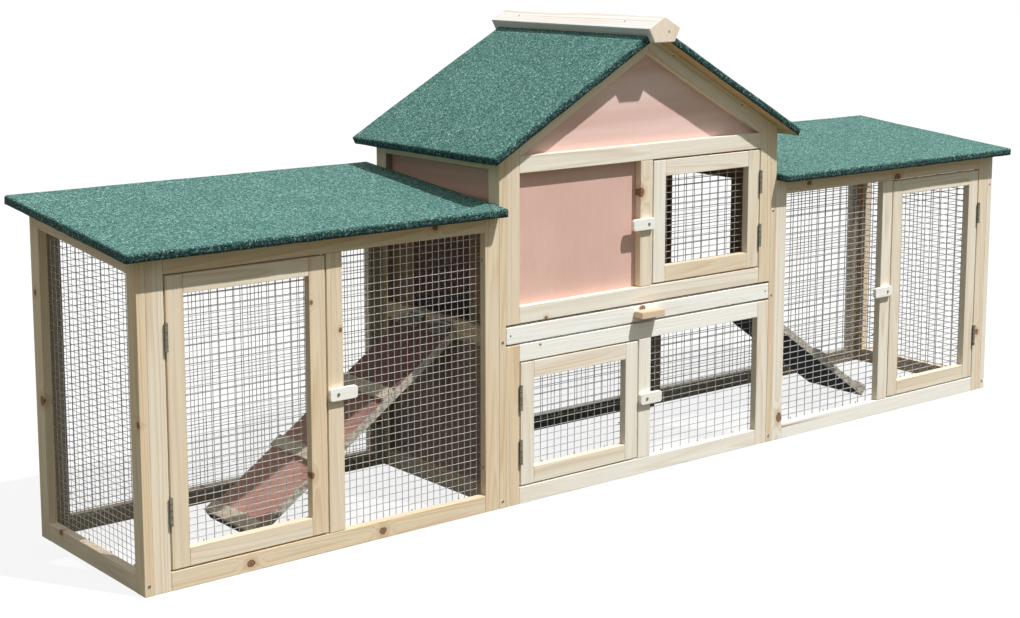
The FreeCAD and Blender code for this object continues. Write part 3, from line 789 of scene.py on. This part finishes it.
feltLow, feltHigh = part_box("house_roof_felts")
long = feltHigh.y - feltLow.y
for sign in (-1, 1):
    boardEnd = endOutline("house_roof_boards", 1, lambda p: p.x * sign > 0)[0]
    boardEnd.sort(key=lambda p: sign * p.x)
    ridgeTop = max(boardEnd[:2], key=lambda p: p.z)
    eaveLow, eaveTop = sorted(boardEnd[2:], key=lambda p: p.z)
    slope = (eaveTop - ridgeTop).normalized()
    wide = (eaveTop - ridgeTop).length + felt["proud"]
    drop = (eaveTop - eaveLow).length + felt["proud"]
    start = ridgeTop + (eaveTop - eaveLow).normalized() * felt["proud"]
    start.y = feltLow.y
    if sign > 0:
        feltSheet("houseFeltRight", start, slope, alongY, wide, long, drop, (False, True, True, True))
    else:
        feltSheet("houseFeltLeft", start + slope * wide, -slope, alongY, wide, long, drop,
                  (True, False, True, True), "house_roof_felts")
print("roofs felted")


# node trees for what repeats
def newTree(name, sizes, points=False):
    tree = bpy.data.node_groups.new(name, "GeometryNodeTree")
    sockets = [("Geometry", "OUTPUT", "Geometry")] + [("Points", "INPUT", "Geometry")] * points
    for label, way, kind in sockets + [(size, "INPUT", "Float") for size in sizes]:
        tree.interface.new_socket(name=label, in_out=way, socket_type="NodeSocket" + kind)
    entry = tree.nodes.new("NodeGroupInput")
    return Field(tree), {s.name: Field(tree, s) for s in entry.outputs if s.name}


def closeTree(start, geometry, finish):
    real = start.node("GeometryNodeRealizeInstances", {}, {0: geometry})
    painted = start.node("GeometryNodeSetMaterial", {}, {"Geometry": real, "Material": finish})
    start.node("NodeGroupOutput", {}, {0: painted})
    return start.tree


def grown(name, tree, sizes, source=None):
    # runs a tree once and gives its result as a plain mesh
    holder = placed(name + "Holder", source or bpy.data.meshes.new(name + "Source"))
    nodesModifier = holder.modifiers.new("nodes", "NODES")
    nodesModifier.node_group = tree
    for item in tree.interface.items_tree:
        if item.in_out == "INPUT" and item.name in sizes:
            nodesModifier[item.identifier] = sizes[item.name]
    holder.data.update()
    bpy.context.view_layer.update()
    depsgraph = bpy.context.evaluated_depsgraph_get()
    mesh = bpy.data.meshes.new_from_object(holder.evaluated_get(depsgraph), depsgraph=depsgraph)
    mesh.name = name
    bpy.data.objects.remove(holder)
    return mesh


def vector(start, x=0.0, y=0.0, z=0.0):
    return start.node("ShaderNodeCombineXYZ", {}, {0: x, 1: y, 2: z})


# welded wire mesh: level wires on the outside, upright wires behind them, a little out of true
wire = {"Wave": 0.0007, "Bulge": 0.0014, "points": 9, "sides": 6, "bulgeScale": 4.5,
        "swayX": (70.0, 90.0, 7.0), "swayZ": (7.0, 90.0, 70.0), "seedStep": 3.1}
gauges = {"left": 0.0013, "left_end": 0.00088, "house": 0.00124, "right": 0.00176}


def wireTree():
    names = ("Width", "Height", "Rise", "CellWide", "CellTall", "Wire", "Wave", "Bulge", "Seed")
    start, sizes = newTree("weldedMesh", names)
    width, height, rise, cellWide, cellTall, gauge, wave, bulge, seed = (sizes[k] for k in names)
    profile = start.node("GeometryNodeCurvePrimitiveCircle", {},
                         {"Resolution": wire["sides"], "Radius": gauge / 2})
    place = start.node("GeometryNodeInputPosition")
    px, pz = place.parts()[::2]

    def rowOf(count, first, step):
        return start.node("GeometryNodeMeshLine", {"mode": "OFFSET"},
                          {"Count": count, "Start Location": first, "Offset": step})

    def family(end, points, scale):
        line = start.node("GeometryNodeCurvePrimitiveLine", {}, {"Start": (0, 0, 0), "End": end})
        strand = start.node("GeometryNodeResampleCurve", {}, {"Curve": line, "Count": wire["points"]})
        laid = start.node("GeometryNodeInstanceOnPoints", {},
                          {"Points": points, "Instance": strand, "Scale": scale})
        return start.node("GeometryNodeRealizeInstances", {}, {0: laid})

    # upright wires, each as tall as the sheet is there
    columns = (width / cellWide).alone("FLOOR")
    side = (width - columns * cellWide) / 2
    feet = rowOf(columns + 1, vector(start, side, gauge), vector(start, cellWide))
    uprights = family((0, 0, 1), feet, vector(start, 1.0, 1.0, height + rise * px / width))

    # level wires, cut off where the sheet's top slopes down to them
    rows = ((height + rise) / cellTall).alone("FLOOR")
    foot = (height - (height / cellTall).alone("FLOOR") * cellTall) / 2
    starts = rowOf(rows + 1, vector(start, 0.0, 0.0, foot), vector(start, 0.0, 0.0, cellTall))
    above = start.maths("MAXIMUM", (pz - height) / (rise + 1e-6), 0.0)
    cutAt = start.maths("MINIMUM", above, 0.98) * width
    starts = start.node("GeometryNodeSetPosition", {}, {"Geometry": starts, "Offset": vector(start, cutAt)})
    levels = family((1, 0, 0), starts, vector(start, width - px, 1.0, 1.0))

    both = start.node("GeometryNodeJoinGeometry", {}, {0: [uprights, levels]})
    seeded = start.node("ShaderNodeVectorMath", {"operation": "ADD"},
                        {0: place, 1: vector(start, seed, seed * 0.37)})
    slow = seeded.noise(wire["bulgeScale"], 1.0) - 0.5
    swayX, swayZ = (seeded.drawn(wire[k], 1.0) - 0.5 for k in ("swayX", "swayZ"))
    sway = vector(start, swayX * wave, slow * bulge, swayZ * wave)
    bentWires = start.node("GeometryNodeSetPosition", {}, {"Geometry": both, "Offset": sway})
    solid = start.node("GeometryNodeCurveToMesh", {},
                       {"Curve": bentWires, "Profile Curve": profile, "Fill Caps": True})
    return closeTree(start, start.node("GeometryNodeSetShadeSmooth", {}, {0: solid}), meshZinc)


weldedTree = wireTree()
cells = {"left": (0.0145, 0.0108), "left_run_window": (0.0130, 0.0128), "house": (0.0228, 0.0127),
         "house_lower_door": (0.0158, 0.0127), "house_upper_door": (0.0224, 0.0122),
         "right": (0.0232, 0.0125), "right_run_door": (0.0254, 0.0125)}
meshNodes = sorted(n for n in cadNodes if n.endswith("_mesh"))


def forSheet(table, node):
    # a sheet's own entry, or the one for its part of the hutch
    return table.get(node.removesuffix("_mesh"), table[node.split("_")[0]])


for seed, node in enumerate(meshNodes):
    low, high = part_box(node)
    endPanel = node.endswith("_end_mesh")
    name = plainName(node) + "Wires"
    span = high.y - low.y if endPanel else high.x - low.x
    rise = runSlope * span if endPanel else 0.0
    (cellWide, cellTall), gauge = forSheet(cells, node), forSheet(gauges, node)
    sizes = {"Width": span, "Height": high.z - low.z - rise, "Rise": rise, "CellWide": cellWide,
             "CellTall": cellTall, "Seed": seed * wire["seedStep"], "Wire": gauge, **wire}
    mesh = grown(name, weldedTree, sizes)
    # the sheet's own axes: along the panel, away from the timbers, and up
    axes = Matrix.Identity(3)
    corner = at(low.x, low.y + gauge / 2 if low.y < 0 else high.y - 1.5 * gauge, low.z)
    if endPanel:
        axes = Matrix(((0, -1, 0), (1, 0, 0), (0, 0, 1)))
        corner = at((high.x if low.x > 0 else low.x + 2 * gauge) - gauge / 2, low.y, low.z)
    mesh.transform(Matrix.Translation(corner) @ axes.to_4x4())
    piece(name, mesh, cadNodes[node]["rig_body"], "mesh_wire", node)
print("wire mesh woven:", len(meshNodes), "sheets")


# screws, nails and staples: one small shape on points that carry the way they face and their turn
def onPoints(start, points, shape):
    way, spin = (start.node("GeometryNodeInputNamedAttribute", {"data_type": kind}, {"Name": name})
                 for name, kind in (("facing", "FLOAT_VECTOR"), ("spin", "FLOAT")))
    turned = start.node("FunctionNodeAlignRotationToVector", {"axis": "Z"}, {"Vector": way})
    spun = start.node("FunctionNodeEulerToRotation", {}, {0: vector(start, 0.0, 0.0, spin)})
    both = start.node("FunctionNodeRotateRotation", {"rotation_space": "LOCAL"}, {0: turned, 1: spun})
    return start.node("GeometryNodeInstanceOnPoints", {},
                      {"Points": points, "Instance": shape, "Rotation": both})


def cuboid(start, size, place):
    block = start.node("GeometryNodeMeshCube", {}, {"Size": vector(start, *size)})
    shift = vector(start, *place)
    return start.node("GeometryNodeTransform", {}, {"Geometry": block, "Translation": shift})


def headTree(name, slotted):
    # a low cone; a screw's has a cross cut in it
    start, sizes = newTree(name, ("Radius", "Height", "Slot"), True)
    radius, height, deep = sizes["Radius"], sizes["Height"], sizes["Slot"] * 2
    head = start.node("GeometryNodeMeshCone", {},
                      {"Vertices": 14, "Side Segments": 1, "Fill Segments": 1, "Radius Top": radius * 0.82,
                       "Radius Bottom": radius, "Depth": height})
    if slotted:
        bars = [cuboid(start, (radius * x, radius * y, deep), (0.0, 0.0, height))
                for x, y in ((1.2, 0.26), (0.26, 1.2))]
        head = start.node("GeometryNodeMeshBoolean", {"operation": "DIFFERENCE"}, {0: head, 1: bars})
    return closeTree(start, onPoints(start, sizes["Points"], head), screwZinc)


def stapleTree():
    # a crown with two legs that go through the mesh into the timber
    start, sizes = newTree("staples", ("Crown", "Gauge", "Leg"), True)
    crown, gauge, leg = sizes["Crown"], sizes["Gauge"], sizes["Leg"]
    parts = [cuboid(start, (crown, gauge, gauge), ())]
    parts += [cuboid(start, (gauge, gauge * 0.9, leg), ((crown - gauge) * half, 0.0, leg * -0.5))
              for half in (-0.5, 0.5)]
    whole = start.node("GeometryNodeJoinGeometry", {}, {0: parts})
    return closeTree(start, onPoints(start, sizes["Points"], whole), meshZinc)


def fixings(name, tree, sizes, spots, body, *replaced):
    # spots are places with the way they face and how far they are turned
    places, ways, turns = zip(*spots)
    mesh = meshOf(name + "Spots", places)
    mark(mesh, "facing", [c for way in ways for c in way], True)
    mark(mesh, "spin", turns)
    piece(name, grown(name, tree, sizes, mesh), body, "screw_steel", *replaced)


def anyTurn():
    return rng.uniform(0.0, 1.5)


screws, nails, staples = headTree("screwHeads", True), headTree("nailHeads", False), stapleTree()
toFront, toBack, toLeft, toRight = -alongY, alongY, -alongX, alongX
buttonScrew = {"Radius": 0.0030, "Height": 0.0012, "Slot": 0.0009}
spots = []
for joint in frame["joints"]:
    if joint["name"].endswith("_button_turn"):
        low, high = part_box(joint["child"])
        spots.append((at(joint["pos_m"][0], low.y, joint["pos_m"][2]), toFront, anyTurn()))
fixings("ButtonScrews", screws, buttonScrew, spots, "frame", "button_screws")

# screws through the panels' edges where they meet, at the heights that the photograph shows
panelScrew = {"Radius": 0.0031, "Height": 0.0006, "Slot": 0.0005}
screwHeights = {"left": {"house": (0.012, 0.293), "end": (0.016,)},
                "right": {"house": (0.012, 0.293, 0.458), "end": (0.016, 0.451)}, "run": (0.078, 0.439)}
spots = []
for side in ("left", "right"):
    for node, heights in (("house_" + side + "_side_frame", screwHeights[side]["house"]),
                          (side + "_end_frame", screwHeights[side]["end"])):
        low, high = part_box(node)
        for z in heights:
            for y, way in ((low.y, toFront), (high.y, toBack)):
                spots.append((at((low.x + high.x) / 2, y, z), way, anyTurn()))
    for node in (side + "_run_front_frame", side + "_run_back_frame"):
        low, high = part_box(node)
        for z in screwHeights["run"]:
            for x, way in ((low.x + w, toRight), (high.x - w, toLeft)):
                spots.append((at(x, (low.y + high.y) / 2, z), way, anyTurn()))
fixings("PanelScrews", screws, panelScrew, spots, "frame")

# nails: two in each rafter, two through each slope of the ridge, one at each end of the tray's board
nail = {"Radius": 0.0019, "Height": 0.0005, "below": 0.007, "rafters": (0.062, 0.241),
        "ridge": (-0.140, 0.159), "ridgeOut": 0.020, "trayIn": 0.009}
spots = []
shoulder = max(p.z for p in ridgePoints if p.x > ridgeHigh.x - 1e-5)
fall = (ridgeHigh.z - shoulder) / ridgeHigh.x
for sign in (-1, 1):
    for x in nail["rafters"]:
        spots.append((at(sign * x, upperLow.y, roofUnder(x) - nail["below"]), toFront, 0.0))
    for y in nail["ridge"]:
        spots.append((at(sign * nail["ridgeOut"], y, ridgeHigh.z - nail["ridgeOut"] * fall),
                      at(sign * fall, 0, 1).normalized(), 0.0))
fixings("RidgeAndRafterNails", nails, nail, spots, "frame")
low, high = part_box("tray_front")
spots = [(at(x, low.y, (low.z + high.z) / 2), toFront, 0.0)
         for x in (low.x + nail["trayIn"], high.x - nail["trayIn"])]
fixings("TrayNails", nails, nail, spots, "tray")

# staples round the border of each mesh, across its outermost wires
staple = {"Crown": 0.0095, "Gauge": 0.0011, "Leg": 0.0022, "in": 0.0042, "spacing": 0.085, "askew": 0.25}
stapled = {}


def spread(low, high):
    count = max(2, round((high - low) / staple["spacing"]))
    return [low + (high - low) * (k + 0.5) / count for k in range(count)]


for node in meshNodes:
    low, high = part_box(node)
    flat = 1 if high.x - low.x > high.y - low.y else 0
    way = 1 - flat
    behind = -1 if low[flat] + high[flat] > 0 else 1
    off = 2 * forSheet(gauges, node) + staple["Gauge"] / 2
    face = low[flat] + off if behind > 0 else high[flat] - off
    facing = Vector()
    facing[flat] = behind
    a, b = low[way] + staple["in"], high[way] - staple["in"]
    slant = runSlope if flat == 0 else 0.0
    foot, head = low.z + staple["in"], high.z - slant * (b - a) - staple["in"]
    border = []
    for s in spread(a, b):
        border += [(s, foot, True), (s, head + slant * (s - a), True)]
    for s in (a, b):
        border += [(s, z, False) for z in spread(foot, head + slant * (s - a))]
    for s, z, level in border:
        place = at(0, 0, z)
        place[flat], place[way] = face, s
        turn = rng.uniform(-staple["askew"], staple["askew"])
        turn += math.pi / 2 if level == (flat == 1) else 0.0
        stapled.setdefault(cadNodes[node]["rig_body"], []).append((place, facing, turn))
for body, spots in stapled.items():
    fixings(plainName(body) + "Staples", staples, staple, spots, body)
print("fixings set")

# pieces that keep their frame shape get their real finish, by a word in their names
finishes = {"house_front_boards": pinkPly, "house_back_board": pinkPly, "_side_board": sidePly,
            "hinge": hingeZinc, "tray_pan": panZinc}
for node, made in cadNodes.items():
    for word, finish in finishes.items():
        if word in node and not made.hide_render:
            made.data.materials.clear()
            made.data.materials.append(finish)

# floor, light and camera
studio = {"sunTo": (0.57, -1.0, 1.91), "sun": 4.0, "sunWidth": 1.0, "sunTint": (1.0, 0.975, 0.95),
          "skyHigh": 0.56, "skyLow": 0.10, "skyRise": (-0.05, 0.6), "skyTint": (0.965, 1.0, 0.965, 1.0),
          "ground": (0.112, 0.116, 0.082, 1.0), "paper": (0.84, 0.84, 0.84, 1.0), "glow": 0.88,
          "white": (1, 1, 1, 1), "floorHalf": 14.0}
h = studio["floorHalf"]
floorMesh = meshOf("floor", [(-h, -h, 0), (h, -h, 0), (h, h, 0), (-h, h, 0)], [(0, 1, 2, 3)])
floor = placed("floor", floorMesh)


def cleared(owner):
    owner.use_nodes = True
    owner.node_tree.nodes.clear()
    return Field(owner.node_tree)


def seenDirectly(start):
    camera, glossy, through = (start.node("ShaderNodeLightPath", {}, {}, ray) for ray in
                               ("Is Camera Ray", "Is Glossy Ray", "Is Transmission Ray"))
    return start.maths("MAXIMUM", start.maths("MAXIMUM", camera, glossy), through)


def twoFaced(start, share, lighting, shown, output):
    # what lights the hutch, and what is seen in its place
    blend = start.node("ShaderNodeMixShader", {}, {0: seenDirectly(start) * share, 1: lighting, 2: shown})
    start.node(output, {}, {0: blend})


paper = bpy.data.materials.new("paper")
start = cleared(paper)
tint = seenDirectly(start).mixed(studio["ground"], studio["paper"])
matt = start.node("ShaderNodeBsdfDiffuse", {}, {"Color": tint})
white = start.node("ShaderNodeEmission", {}, {"Color": studio["white"], "Strength": 1.0})
twoFaced(start, studio["glow"], matt, white, "ShaderNodeOutputMaterial")
floorMesh.materials.append(paper)

world = bpy.data.worlds.new("studio")
scene.world = world
start = cleared(world)
height = start.node("ShaderNodeTexCoord").parts()[2].between(*studio["skyRise"])
sky = height * (studio["skyHigh"] - studio["skyLow"]) + studio["skyLow"]
dim = start.node("ShaderNodeBackground", {}, {"Color": studio["skyTint"], "Strength": sky})
bright = start.node("ShaderNodeBackground", {}, {"Color": studio["white"], "Strength": 1.0})
twoFaced(start, 1.0, dim, bright, "ShaderNodeOutputWorld")

sun = bpy.data.lights.new("sun", "SUN")
sun.energy = studio["sun"]
sun.angle = math.radians(studio["sunWidth"])
sun.color = studio["sunTint"]
lamp = placed("sun", sun)
lamp.rotation_euler = Vector(studio["sunTo"]).to_track_quat("Z", "Y").to_euler()

# the photograph's camera: place, turn and lens worked out from the hutch's corners in it
view = {"place": (-2.2100, -2.5343, 0.9792), "yaw": 38.819, "down": 8.628, "lensPixels": 1804.2,
        "axisRow": 210.0, "wide": 1020.0, "tall": 618.0, "sensor": 36.0}
lens = bpy.data.cameras.new("camera")
lens.sensor_fit = "HORIZONTAL"
lens.sensor_width = view["sensor"]
lens.lens = view["lensPixels"] * view["sensor"] / view["wide"]
lens.shift_y = (view["axisRow"] - view["tall"] / 2) / view["wide"]
camera = placed("camera", lens)
camera.location = view["place"]
camera.rotation_euler = (math.radians(90 - view["down"]), 0.0, math.radians(-view["yaw"]))
scene.camera = camera
scene.view_settings.view_transform = "Standard"

print("scene ready")
